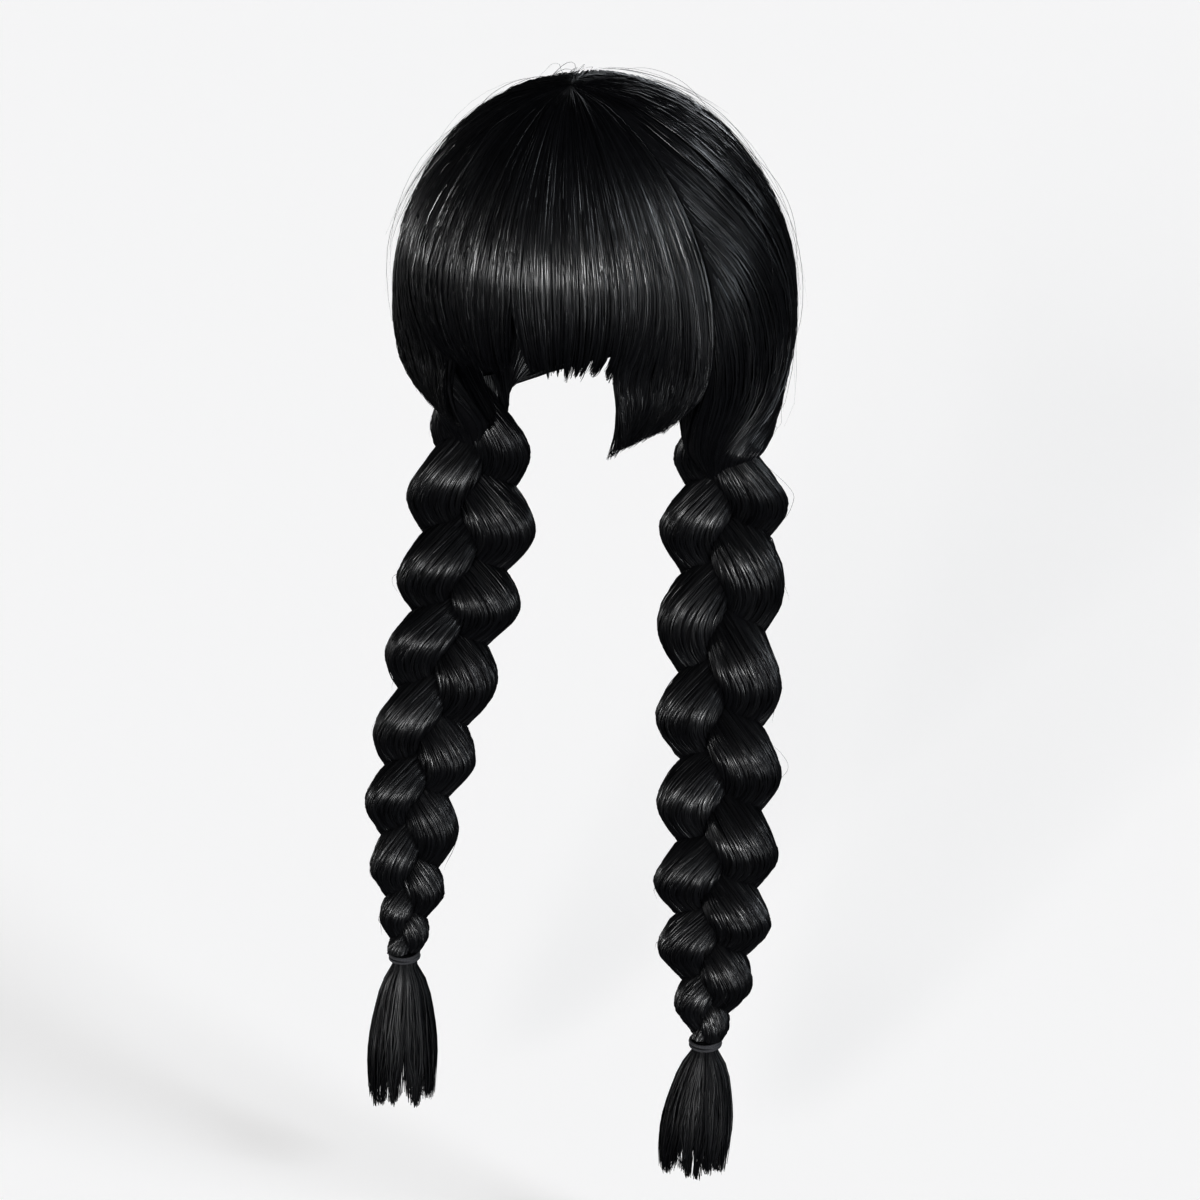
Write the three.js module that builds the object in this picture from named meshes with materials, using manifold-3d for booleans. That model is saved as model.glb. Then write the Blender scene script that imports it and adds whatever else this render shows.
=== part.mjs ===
// A long black wig: a net cap, a straight fringe parted in the middle, two tapered face-framing locks,
// two crown halves swept back to braids of three strands, and an elastic and a loose tassel on each braid.
// Millimetres, +Z up. The wig faces -Y, and left and right are the wearer's, so +X is left.
// The origin is the top of the cap's inside, where the head carries the wig.
import * as THREE from 'three';
import { LoftGeometry } from 'three/addons/geometries/LoftGeometry.js';
import { mergeVertices } from 'three/addons/utils/BufferGeometryUtils.js';
import Module from 'manifold-3d';

const { lerp, smoothstep, degToRad } = THREE.MathUtils;

// Clearance between neighbouring pieces
const GAP = 0.4;

// The cap's inside is an ellipsoid as large as a head, about 550 mm round
const HEAD = { halfWidth: 76, halfLength: 97, height: 100 };
const CAP_WALL = 1.2;

// How far the cap's rim lies below its top: at the forehead, over the ears and at the nape
const CAP_RIM = [
  { azimuth: 0, drop: 70 },
  { azimuth: 60, drop: 92 },
  { azimuth: 100, drop: 112 },
  { azimuth: 140, drop: 140 },
  { azimuth: 180, drop: 148 },
];

// The hair's outer surface is a dome that stands off the cap. It is drawn in more steeply below its
// widest level than above it.
const DOME = { halfWidth: 120, front: 116, back: 130, height: 141, below: 95, top: 20 };
const DOME_LEVEL = DOME.top - DOME.height;

// The hair fans out from the whorl. Azimuth 0 is the front, and reach 1 is the dome's widest level
const WHORL_FORWARD = 26;
const WHORL_REACH = 0.03;

// Fringe: its half angle, its cut edge at the middle and at the ends, and the depth of hair along it
const FRINGE_AZIMUTH = 38;
const FRINGE_CUT = { halfWidth: 51.5, front: 97, endSetBack: 15.5, drop: 133, endDrop: 4 };
const FRINGE_DEPTH = [
  { along: 0, depth: 6 },
  { along: 0.3, depth: 17 },
  { along: 0.6, depth: 13 },
  { along: 0.85, depth: 7 },
  { along: 1, depth: 4 },
];
const NOTCH = { top: { x: 3, drop: 94 }, bottom: { left: 7.5, right: -4, drop: 150 } };

// The front hair leaves the dome at this share of its way down, and curls in to the fringe's cut line
const FRONT_REACH = 1.1;
const CURL_START = 0.62;

// Side locks: their rear edge on the cut line's level, the ends of their inner and rear strands, the share of
// their length that lies above the cut line, and how far their strands hang straight below it
const LOCK_AZIMUTH = 63;
const LOCK_REAR = { out: 99, front: 56, drop: 139 };
const LOCK_TIP = {
  inner: { out: 44.5, front: 71, drop: 192 },
  rear: { out: 50, front: 68, drop: 184 },
};
const LOCK_FALL = { share: 0.7, length: 16 };
const LOCK_DEPTH = [
  { along: 0, depth: 6 },
  { along: 0.25, depth: 19 },
  { along: 0.5, depth: 13 },
  { along: 0.75, depth: 8 },
  { along: 1, depth: 4 },
];

// Crown: where its strands run on the dome, from the lock's edge (across 0) to the nape (across 1).
// Each row gives azimuth and reach at the start, at a third, at two thirds and at the braid's root.
const CROWN_FLOW = [
  { across: 0, azimuth: [63, 63, 65, 82], reach: [WHORL_REACH, 0.5, 0.96, 1.38] },
  { across: 0.2, azimuth: [122, 108, 96, 94], reach: [WHORL_REACH, 0.5, 0.96, 1.4] },
  { across: 0.4, azimuth: [180, 146, 122, 103], reach: [WHORL_REACH, 0.55, 1, 1.4] },
  { across: 0.7, azimuth: [180, 152, 130, 108], reach: [0.66, 0.9, 1.16, 1.4] },
  { across: 1, azimuth: [180, 160, 137, 112], reach: [1.26, 1.34, 1.4, 1.42] },
];
const CROWN_DEPTH = [
  { along: 0, depth: 6 },
  { along: 0.25, depth: 22 },
  { along: 0.6, depth: 22 },
  { along: 0.85, depth: 34 },
  { along: 1, depth: 54 },
];
const ROOT = { out: 83, back: 8, drop: 197, radius: 27, turn: -35 };
const ROOT_BLEND = 0.62;

// From this share of its length on the crown sags and swells, before it is gathered at the root
const SAG = { start: 0.5, swell: 9 };

// The crown's front edge lies this share of its width behind the lock, and over this share of its width
// the hair is drawn in to the lock's rear edge
const CROWN_INSET = 0.005;
const CROWN_FRONT = 0.25;

// Braids, from the root to the elastic: the route of each one's middle, its half width, and how many of the
// lobes on its outer side lie above each row
const BRAID_LEFT = {
  side: 1,
  facing: 20,
  route: [
    { drop: ROOT.drop + GAP, out: 83, back: 8, halfWidth: 28, lobes: 0.45 },
    { drop: 230, out: 85, back: 10, halfWidth: 35, lobes: 1.07 },
    { drop: 280, out: 86.5, back: 3, halfWidth: 35.5, lobes: 2 },
    { drop: 338, out: 92, back: -13, halfWidth: 35.5, lobes: 3 },
    { drop: 388, out: 98.5, back: -26, halfWidth: 35, lobes: 4 },
    { drop: 436, out: 103.5, back: -40, halfWidth: 34.5, lobes: 5 },
    { drop: 480, out: 104.5, back: -48, halfWidth: 33, lobes: 6 },
    { drop: 521, out: 105, back: -53.5, halfWidth: 23, lobes: 7 },
    { drop: 554, out: 105, back: -59, halfWidth: 9, lobes: 8 },
  ],
  tasselLength: 87,
};
const BRAID_RIGHT = {
  side: -1,
  facing: 28,
  route: [
    { drop: ROOT.drop + GAP, out: 83, back: 8, halfWidth: 29, lobes: 0.1 },
    { drop: 247, out: 85.5, back: 8, halfWidth: 37.5, lobes: 1 },
    { drop: 300, out: 88, back: -2, halfWidth: 38.5, lobes: 2 },
    { drop: 346, out: 93.5, back: -15, halfWidth: 35.5, lobes: 3 },
    { drop: 397, out: 100, back: -28, halfWidth: 32.5, lobes: 4 },
    { drop: 441, out: 104, back: -41, halfWidth: 29, lobes: 5 },
    { drop: 486, out: 104, back: -48, halfWidth: 23, lobes: 6 },
    { drop: 519, out: 104.5, back: -53, halfWidth: 15, lobes: 7 },
    { drop: 539, out: 105, back: -57, halfWidth: 9.5, lobes: 7.8 },
  ],
  tasselLength: 100,
};

// A strand's path and section, as shares of the braid's half width
const PLAIT = { strands: 3, swing: 0.57, depth: 0.36, wide: 0.62, thick: 0.43, apart: 0.19 };
const STRAND_SIDES = 9;
const STRAND_STEPS = 54;

// Elastics, and the tassels that flare out below them
const TIE = { bore: 8.4, wall: 1.9, height: 5, rounding: 0.3, segments: 20 };
const TASSEL_FORM = [
  { fall: 0, halfWidth: 8, halfDepth: 8 },
  { fall: 0.08, halfWidth: 8, halfDepth: 8 },
  { fall: 0.2, halfWidth: 14, halfDepth: 10 },
  { fall: 0.38, halfWidth: 19, halfDepth: 12 },
  { fall: 0.6, halfWidth: 22.5, halfDepth: 13.5 },
  { fall: 0.8, halfWidth: 23.5, halfDepth: 13 },
  { fall: 0.94, halfWidth: 21, halfDepth: 10 },
  { fall: 1, halfWidth: 17, halfDepth: 5 },
];
const TASSEL_LEAN = { out: -2.5, back: -13 };
const TASSEL_SIDES = 16;

// Facets: steps across and along each sheet of hair, with how bluntly its section ends at the edges
const FRINGE_MESH = { columns: 14, rows: 12, edge: 0.3 };
const LOCK_MESH = { columns: 7, rows: 16, edge: 0.4 };
const CROWN_MESH = { columns: 14, rows: 12, edge: 0.3 };
const CAP_MESH = { azimuths: 24, wall: 8 };

// Reads one column of a table between its rows, on a smooth curve or on straight lines
function column(rows, key, name, Interpolant = THREE.CubicInterpolant) {
  const places = rows.map((row) => row[key]);
  const values = rows.flatMap((row) => row[name]);
  const curve = new Interpolant(places, values, values.length / rows.length);
  return (place) => Array.from(curve.evaluate(THREE.MathUtils.clamp(place, places[0], places.at(-1))));
}

// A direction on the dome's unit sphere, on the arc from the whorl towards an azimuth
const whorlSlope = WHORL_FORWARD / DOME.front;
const whorl = new THREE.Vector3(0, -whorlSlope, Math.sqrt(1 - whorlSlope ** 2));

function domeDirection(azimuth, reach) {
  const angle = degToRad(azimuth);
  const level = new THREE.Vector3(Math.sin(angle), -Math.cos(angle), 0);
  const arc = whorl.angleTo(level);
  const fromWhorl = Math.sin((1 - reach) * arc) / Math.sin(arc);
  const fromLevel = Math.sin(reach * arc) / Math.sin(arc);
  return whorl.clone().multiplyScalar(fromWhorl).addScaledVector(level, fromLevel);
}

// The dome's half axes in the part of it that a direction points to
function domeSize({ y, z }) {
  return new THREE.Vector3(DOME.halfWidth, y < 0 ? DOME.front : DOME.back, z < 0 ? DOME.below : DOME.height);
}

function onDome(direction) {
  return direction.clone().multiply(domeSize(direction)).add(new THREE.Vector3(0, 0, DOME_LEVEL));
}

function intoDome(direction) {
  return direction.clone().divide(domeSize(direction)).normalize().negate();
}

// A point that would lie inside the cap is pushed out past its surface, by more than the flat faces cut in
const CAP_CLEARANCE = 1.1;
const capInner = new THREE.Vector3(HEAD.halfWidth, HEAD.halfLength, HEAD.height);
const capOuter = capInner.clone().addScalar(CAP_WALL + CAP_CLEARANCE);
const capMiddle = new THREE.Vector3(0, 0, -HEAD.height);

function clearOfCap(point) {
  const scaled = point.clone().sub(capMiddle).divide(capOuter);
  const radius = scaled.length();
  if (radius < 1) point.copy(scaled.divideScalar(radius).multiply(capOuter).add(capMiddle));
  return point;
}

// A closed sheet of hair. surface(along, across) gives its outer point and the direction inwards, and the
// section tapers to nothing at both edges and at the two ends, or is cut flat at a flat end.
function hairSheet(surface, depth, { columns, rows, edge }, flatEnd = false) {
  const sections = [];
  const depthAt = column(depth, 'along', 'depth');
  for (let row = 0; row <= rows; row += 1) {
    const along = row / rows;
    const pinched = row === 0 || (row === rows && !flatEnd);
    const thick = pinched ? 0 : depthAt(along)[0];
    const power = lerp(edge, 1, flatEnd ? smoothstep(along, ROOT_BLEND, 1) : 0);
    const section = [];
    for (let i = 0; i < 2 * columns; i += 1) {
      const turn = (Math.PI * i) / columns;
      const { point, inward } = surface(along, (1 - Math.cos(turn)) / 2);
      if (i < columns) point.addScaledVector(inward, thick * Math.abs(Math.sin(turn)) ** power);
      section.push(clearOfCap(point));
    }
    sections.push(section);
  }
  if (flatEnd) {
    const last = sections.at(-1);
    sections.push(last.map((point, i) => point.clone().lerp(last[(2 * columns - i) % (2 * columns)], 0.5)));
  }
  return new LoftGeometry(sections);
}

// Keeps a sheet's two edges half a gap short, whatever its width there
function insetEdges(route) {
  return (along, across) => {
    const width = Math.max(route(along, 0).point.distanceTo(route(along, 1).point), 4 * GAP);
    return route(along, lerp(GAP / width, 1 - GAP / width, across));
  };
}

const place = ({ out, front, drop }) => new THREE.Vector3(out, -front, -drop);

// The line that the front hair is combed to: the fringe's cut edge, and on to the lock's rear edge
function cutLine(azimuth) {
  const { halfWidth, front, endSetBack, drop, endDrop } = FRINGE_CUT;
  const offset = THREE.MathUtils.clamp(azimuth / FRINGE_AZIMUTH, -1, 1);
  const edge = place({
    out: offset * halfWidth, front: front - endSetBack * offset ** 2, drop: drop + endDrop * offset ** 2,
  });
  return edge.lerp(place(LOCK_REAR), smoothstep(azimuth, FRINGE_AZIMUTH, LOCK_AZIMUTH));
}

// A front strand from the whorl to the cut line
function combedDown(azimuth, along) {
  const direction = domeDirection(azimuth, lerp(WHORL_REACH, FRONT_REACH, along));
  const point = onDome(direction).lerp(cutLine(azimuth), smoothstep(along, CURL_START, 1));
  return { point, inward: intoDome(direction) };
}

function fringeRoute(along, across) {
  return combedDown(lerp(-FRINGE_AZIMUTH, FRINGE_AZIMUTH, across), along);
}

// A lock's strand is combed down like the fringe's, hangs on below the cut line and sweeps in to the tip
function lockRoute(along, across) {
  const azimuth = lerp(FRINGE_AZIMUTH, LOCK_AZIMUTH, across);
  if (along <= LOCK_FALL.share) return combedDown(azimuth, along / LOCK_FALL.share);
  const cut = combedDown(azimuth, 1);
  const hanging = cut.point.clone().setZ(cut.point.z - LOCK_FALL.length);
  const tip = place(LOCK_TIP.inner).lerp(place(LOCK_TIP.rear), across);
  const sweep = new THREE.QuadraticBezierCurve3(cut.point, hanging, tip);
  return { point: sweep.getPoint((along - LOCK_FALL.share) / (1 - LOCK_FALL.share)), inward: cut.inward };
}

function crownRoute() {
  const azimuthAt = column(CROWN_FLOW, 'across', 'azimuth', THREE.LinearInterpolant);
  const reachAt = column(CROWN_FLOW, 'across', 'reach', THREE.LinearInterpolant);
  const stations = [0, 1 / 3, 2 / 3, 1];
  const between = (values, along) => new THREE.CubicInterpolant(stations, values, 1).evaluate(along)[0];
  const turn = degToRad(ROOT.turn);
  const outward = new THREE.Vector3(Math.cos(turn), Math.sin(turn), 0);
  const rearward = new THREE.Vector3(-Math.sin(turn), Math.cos(turn), 0);
  return (along, across) => {
    const inset = lerp(CROWN_INSET, 1, across);
    const azimuth = Math.min(between(azimuthAt(inset), along), 180);
    const reach = Math.max(between(reachAt(inset), along), WHORL_REACH);
    const direction = domeDirection(azimuth, reach);
    const rear = 2 * across - 1;
    const root = new THREE.Vector3(ROOT.out, ROOT.back, -ROOT.drop)
      .addScaledVector(rearward, ROOT.radius * rear)
      .addScaledVector(outward, ROOT.radius * Math.sqrt(1 - rear ** 2));
    const share = smoothstep(along, ROOT_BLEND, 1);
    const beside = 1 - smoothstep(across, 0, CROWN_FRONT);
    const curl = smoothstep(reach, lerp(WHORL_REACH, FRONT_REACH, CURL_START), FRONT_REACH);
    const swell = SAG.swell * Math.sin(Math.PI * smoothstep(along, SAG.start, 1)) ** 2 * (1 - beside);
    const point = onDome(direction)
      .addScaledVector(intoDome(direction), -swell)
      .lerp(cutLine(LOCK_AZIMUTH), curl * beside)
      .lerp(root, share);
    const inward = intoDome(direction).lerp(outward.clone().negate(), share).normalize();
    point.x = Math.max(point.x, GAP / 2);
    return { point, inward };
  };
}

// The cap is a bowl: its inside from the top to the rim, then its outside back up
function capGeometry() {
  const rimAt = column(CAP_RIM, 'azimuth', 'drop');
  const lastRow = 2 * CAP_MESH.wall + 1;
  const sections = [];
  for (let row = 0; row <= lastRow; row += 1) {
    const outer = row > CAP_MESH.wall;
    const share = (outer ? lastRow - row : row) / CAP_MESH.wall;
    const size = capInner.clone().addScalar(outer ? CAP_WALL : 0);
    const section = [];
    for (let i = 0; i < CAP_MESH.azimuths; i += 1) {
      const azimuth = (360 * i) / CAP_MESH.azimuths;
      const drop = rimAt(Math.min(azimuth, 360 - azimuth))[0];
      const polar = share * Math.acos(1 - drop / HEAD.height);
      const round = Math.sin(polar);
      const spin = degToRad(azimuth);
      const unit = new THREE.Vector3(round * Math.sin(spin), -round * Math.cos(spin), Math.cos(polar));
      section.push(unit.multiply(size).add(capMiddle));
    }
    sections.push(section);
  }
  return new LoftGeometry(sections);
}

// The middle of one strand in a braid's section, in shares of the half width, and which way it runs there.
// In plan it follows a figure of eight: out to each side in front, and back behind.
function strandPlace(lobes, index) {
  const phase = Math.PI / 2 + (2 * Math.PI * (lobes + index)) / PLAIT.strands;
  return {
    middle: new THREE.Vector2(PLAIT.swing * Math.sin(phase), PLAIT.depth * Math.sin(2 * phase)),
    broad: new THREE.Vector2(
      PLAIT.swing * Math.cos(phase),
      2 * PLAIT.depth * Math.cos(2 * phase),
    ).normalize(),
  };
}

// A strand's section is an oval along its way, squeezed flat against its two neighbours
function strandSection(lobes, index) {
  const { middle, broad } = strandPlace(lobes, index);
  const neighbours = [1, 2].map((step) => strandPlace(lobes, index + step).middle.sub(middle));
  return Array.from({ length: STRAND_SIDES }, (_, i) => {
    const angle = (2 * Math.PI * i) / STRAND_SIDES;
    const ray = new THREE.Vector2(Math.cos(angle), Math.sin(angle));
    let radius = 1 / Math.hypot(ray.dot(broad) / PLAIT.wide, ray.cross(broad) / PLAIT.thick);
    for (const neighbour of neighbours) {
      const towards = ray.dot(neighbour) / neighbour.length();
      if (towards > 0) radius = Math.min(radius, (neighbour.length() / 2 - PLAIT.apart / 2) / towards);
    }
    return middle.clone().addScaledVector(ray, radius);
  });
}

function strandGeometry({ side, facing, route }, index) {
  const rows = route.map((row) => ({ ...row, all: [row.drop, row.out, row.back, row.halfWidth] }));
  const at = column(rows, 'lobes', 'all');
  const face = degToRad(side * facing);
  const across = new THREE.Vector3(Math.cos(face), Math.sin(face), 0);
  const forward = new THREE.Vector3(Math.sin(face), -Math.cos(face), 0);
  const sections = [];
  for (let step = 0; step <= STRAND_STEPS; step += 1) {
    const lobes = lerp(route[0].lobes, route.at(-1).lobes, step / STRAND_STEPS);
    const [drop, out, back, halfWidth] = at(lobes);
    const middle = new THREE.Vector3(out, back, -drop);
    sections.push(strandSection(lobes, index).map(({ x, y }) => (
      middle.clone().addScaledVector(across, x * halfWidth).addScaledVector(forward, y * halfWidth)
    )));
  }
  return new LoftGeometry(sections, { capStart: true, capEnd: true });
}

const tieDrop = (route) => route.at(-1).drop + GAP + TIE.height / 2;

function tieGeometry() {
  const half = TIE.height / 2;
  const inner = TIE.bore;
  const shoulder = TIE.bore + TIE.wall * TIE.rounding;
  const outer = TIE.bore + TIE.wall;
  const profile = [
    [inner, -half],
    [shoulder, -half],
    [outer, -half / 2],
    [outer, half / 2],
    [shoulder, half],
    [inner, half],
    [inner, -half],
  ];
  const points = profile.map(([radius, height]) => new THREE.Vector2(radius, height));
  return new THREE.LatheGeometry(points, TIE.segments).rotateX(Math.PI / 2);
}

function tasselGeometry({ side, facing, route, tasselLength }) {
  const rows = TASSEL_FORM.map((row) => ({ ...row, all: [row.halfWidth, row.halfDepth] }));
  const at = column(rows, 'fall', 'all');
  const face = degToRad(facing);
  const { out, back } = route.at(-1);
  const drop = tieDrop(route);
  const sections = TASSEL_FORM.map(({ fall }) => {
    const [halfWidth, halfDepth] = at(fall);
    const lean = smoothstep(fall, 0, 1);
    const section = [];
    for (let i = 0; i < TASSEL_SIDES; i += 1) {
      const angle = (-2 * Math.PI * i) / TASSEL_SIDES;
      const broad = halfWidth * Math.cos(angle);
      const deep = halfDepth * Math.sin(angle);
      section.push(new THREE.Vector3(
        side * (out + TASSEL_LEAN.out * lean) + broad * Math.cos(face) - deep * Math.sin(face),
        back + TASSEL_LEAN.back * lean + broad * Math.sin(face) + deep * Math.cos(face),
        TIE.height / 2 - drop - (tasselLength + TIE.height / 2) * fall,
      ));
    }
    return section;
  });
  return new LoftGeometry(sections, { capStart: true, capEnd: true });
}

// Cuts one closed geometry out of another
const wasm = await Module();
wasm.setup();

function solid(geometry) {
  const bare = new THREE.BufferGeometry().copy(geometry);
  bare.deleteAttribute('normal');
  bare.deleteAttribute('uv');
  const merged = mergeVertices(bare, 1e-3);
  return new wasm.Manifold(new wasm.Mesh({
    numProp: 3,
    vertProperties: Float32Array.from(merged.attributes.position.array),
    triVerts: Uint32Array.from(merged.index.array),
  }));
}

function cut(body, tool) {
  const mesh = solid(body).subtract(solid(tool)).getMesh();
  const geometry = new THREE.BufferGeometry();
  geometry.setAttribute('position', new THREE.BufferAttribute(mesh.vertProperties, 3));
  geometry.setIndex(new THREE.BufferAttribute(mesh.triVerts, 1));
  geometry.computeVertexNormals();
  return geometry;
}

function fringeGeometry() {
  const whole = hairSheet(insetEdges(fringeRoute), FRINGE_DEPTH, FRINGE_MESH);
  const { top, bottom } = NOTCH;
  const outline = new THREE.Shape([
    new THREE.Vector2(top.x, -top.drop),
    new THREE.Vector2(bottom.right, -bottom.drop),
    new THREE.Vector2(bottom.left, -bottom.drop),
  ]);
  const wedge = new THREE.ExtrudeGeometry(outline, { depth: DOME.front, bevelEnabled: false });
  wedge.rotateX(Math.PI / 2).translate(0, -DOME.front / 4, 0);
  return cut(whole, wedge);
}

function lockGeometry() {
  return hairSheet(insetEdges(lockRoute), LOCK_DEPTH, LOCK_MESH);
}

function crownGeometry() {
  return hairSheet(crownRoute(), CROWN_DEPTH, CROWN_MESH, true);
}

// Pieces modelled on the wearer's left are mirrored for the right, with their faces turned to point outwards
function onSide(side, geometry) {
  if (side > 0) return geometry;
  geometry.scale(-1, 1, 1);
  geometry.index.array.reverse();
  return geometry;
}

const hair = () => new THREE.MeshStandardMaterial({ color: 0x0b0b0d, roughness: 0.38, metalness: 0 });
const net = () => new THREE.MeshStandardMaterial({ color: 0x141416, roughness: 0.85, metalness: 0 });
const elastic = () => new THREE.MeshStandardMaterial({ color: 0x1c1d20, roughness: 0.7, metalness: 0 });

const wig = new THREE.Group();

function piece(name, geometry, material) {
  const mesh = new THREE.Mesh(geometry, material);
  mesh.name = name;
  wig.add(mesh);
  return mesh;
}

piece('cap', capGeometry(), net());
piece('fringe', fringeGeometry(), hair());
for (const [name, braid] of [['left', BRAID_LEFT], ['right', BRAID_RIGHT]]) {
  piece(`side_lock_${name}`, onSide(braid.side, lockGeometry()), hair());
  piece(`crown_${name}`, onSide(braid.side, crownGeometry()), hair());
  for (let index = 0; index < PLAIT.strands; index += 1) {
    piece(`braid_${name}_strand_${index + 1}`, onSide(braid.side, strandGeometry(braid, index)), hair());
  }
  const { out, back } = braid.route.at(-1);
  piece(`tie_${name}`, tieGeometry(), elastic()).position.set(braid.side * out, back, -tieDrop(braid.route));
  piece(`tassel_${name}`, tasselGeometry(braid), hair());
}

export default wig;
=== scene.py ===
# %% [markdown]
# # A long braided wig
#
# A long black wig hangs as it would when worn: a net cap inside, a straight fringe with a parted notch, two
# tapered locks beside the face, and hair swept back from a whorl into two plaits with loose tassels.
# Hair is the hard part. Blender's own hair would be lost in an export, and a smooth shape with a streaky
# finish looks moulded. Here each piece of hair is made of hundreds of narrow ribbons, laid along the way
# that it is combed, which give it grain, sheen and ragged ends. All but the loose tassels have a plain dark
# mass underneath, for their body.

import math

import bpy
import numpy as np
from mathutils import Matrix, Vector


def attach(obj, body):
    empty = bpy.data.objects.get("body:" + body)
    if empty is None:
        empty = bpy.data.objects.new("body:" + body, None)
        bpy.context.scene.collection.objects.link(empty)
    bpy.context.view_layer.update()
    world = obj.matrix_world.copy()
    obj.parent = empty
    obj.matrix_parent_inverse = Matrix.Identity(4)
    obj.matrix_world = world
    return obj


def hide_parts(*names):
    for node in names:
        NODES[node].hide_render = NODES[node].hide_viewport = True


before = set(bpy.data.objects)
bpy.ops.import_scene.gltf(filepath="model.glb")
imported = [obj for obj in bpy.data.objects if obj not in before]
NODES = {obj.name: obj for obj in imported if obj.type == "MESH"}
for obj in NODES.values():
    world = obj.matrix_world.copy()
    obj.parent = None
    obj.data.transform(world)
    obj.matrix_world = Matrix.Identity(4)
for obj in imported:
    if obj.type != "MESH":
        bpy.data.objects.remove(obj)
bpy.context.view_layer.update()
MM = 0.001


def table(names, *rows):
    """A table with named columns, as a list of rows that can be read by name."""
    return [dict(zip(names.split(), row)) for row in rows]


# %% [markdown]
# ## Camera and light
#
# The camera looks down a little from the wearer's left, through a long lens, so the head keeps its shape.
# Black hair shows its form only by what it reflects. A ring of wide suns, most of them low, gives it the
# soft band of light that circles the head.

# %% Camera
CAMERA = {"azimuth": 25, "elevation": 19, "distance": 1.86, "target": Vector((0, 0.0135, -0.3089))}
LENS = {"length": 90, "sensor": 36, "far": 100}
GAMMA = 0.86


def towards(azimuth, elevation):
    """The direction from the wig to a place round it. Azimuth 0 is the front, 90 the wearer's left."""
    a, e = math.radians(azimuth), math.radians(elevation)
    return Vector((math.sin(a) * math.cos(e), -math.cos(a) * math.cos(e), math.sin(e)))


away = towards(CAMERA["azimuth"], CAMERA["elevation"])
bpy.ops.object.camera_add(
    location=CAMERA["target"] + away * CAMERA["distance"],
    rotation=away.to_track_quat("Z", "Y").to_euler(),
)
camera = bpy.context.object
camera.data.lens = LENS["length"]
camera.data.sensor_width = LENS["sensor"]
camera.data.clip_end = LENS["far"]
scene = bpy.context.scene
scene.camera = camera
scene.view_settings.view_transform = "Standard"
scene.view_settings.gamma = GAMMA
print("camera at", [round(x, 3) for x in camera.location])

# %% Suns
SUNS = table(
    "name azimuth elevation strength angle red",
    ("front", 5, 10, 5.0, 18, 1),
    ("right_low", -80, -3, 2.8, 22, 1),
    ("left_low", 52, -10, 4.8, 22, 0.96),
    ("left_side", 90, 36, 2.1, 22, 0.9),
    ("left_rear", 104, 0, 1.6, 30, 0.86),
    ("back", 184, 22, 1.5, 24, 0.92),
)
for sun in SUNS:
    direction = towards(sun["azimuth"], sun["elevation"])
    bpy.ops.object.light_add(type="SUN", rotation=direction.to_track_quat("Z", "Y").to_euler())
    light = bpy.context.object
    light.name = "sun_" + sun["name"]
    light.data.energy = sun["strength"]
    light.data.angle = math.radians(sun["angle"])
    light.data.color = (sun["red"], (1 + sun["red"]) / 2, 1)
print("suns:", len(SUNS))

# %% [markdown]
# ## Finishes
#
# A finish is a shader made of nodes. The class below wraps one output of a node, so that sums on it can be
# written as plain Python, and its node method adds any other node with its settings and its inputs. The
# floor and the sky are pale to the camera and dim to the hair, so that most of the hair stays black.


# %% A socket with operators
class Wire:
    """One output of a node in a finish."""

    def __init__(self, tree, socket=None):
        self.tree = tree
        self.socket = socket

    def node(self, kind, settings=(), inputs=(), output=0):
        """Adds a node, sets it up, feeds its inputs, and gives back one of its outputs."""
        made = self.tree.nodes.new(kind)
        for name, value in dict(settings).items():
            setattr(made, name, value)
        for name, value in dict(inputs).items():
            self.feed(made.inputs[name], value)
        return Wire(self.tree, made.outputs[output])

    def feed(self, socket, value):
        if isinstance(value, Wire):
            self.tree.links.new(value.socket, socket)
        else:
            socket.default_value = value

    def math(self, operation, *values):
        return self.node("ShaderNodeMath", {"operation": operation}, dict(enumerate(values)))

    def __add__(self, other):
        return self.math("ADD", self, other)

    def __sub__(self, other):
        return self.math("SUBTRACT", self, other)

    def __rsub__(self, other):
        return self.math("SUBTRACT", other, self)

    def __mul__(self, other):
        return self.math("MULTIPLY", self, other)

    __radd__ = __add__

    def part(self, axis):
        """One coordinate of a vector."""
        return self.node("ShaderNodeSeparateXYZ", inputs={0: self}, output=axis)

    def blend(self, low, high):
        """A colour between two, by this value."""
        inputs = {"Factor": self, 6: low, 7: high}
        return self.node("ShaderNodeMix", {"data_type": "RGBA"}, inputs, output=2)


def new_finish(name):
    """An empty finish: its material, its shader and a wire to start from."""
    material = bpy.data.materials.new(name)
    material.use_nodes = True
    tree = material.node_tree
    return material, tree.nodes["Principled BSDF"].inputs, Wire(tree)


# %% Floor and sky
FLOOR = {"level": -0.70, "size": 40}
FLOOR_TONES = [(0.05, 0.05, 0.051, 1), (0.515, 0.498, 0.488, 1)]
FLOOR_GLOWS = [(0, 0, 0, 1), (0.475, 0.475, 0.475, 1)]
SKY_TONES = [(0.0396, 0.0396, 0.04, 1), (0.94545, 0.94545, 0.955, 1)]

bpy.ops.object.select_all(action="DESELECT")
bpy.ops.mesh.primitive_plane_add(size=FLOOR["size"], location=(0, 0, FLOOR["level"]))
floor = bpy.context.object
floor.name = "floor"
pale, surface, wire = new_finish("pale_floor")
seen = wire.node("ShaderNodeLightPath", output="Is Camera Ray")
wire.feed(surface["Base Color"], seen.blend(*FLOOR_TONES))
wire.feed(surface["Emission Color"], seen.blend(*FLOOR_GLOWS))
surface["Emission Strength"].default_value = 1.0
surface["Roughness"].default_value = 0.9
surface["Specular IOR Level"].default_value = 0.0
floor.data.materials.append(pale)
floor.visible_shadow = False

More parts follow.
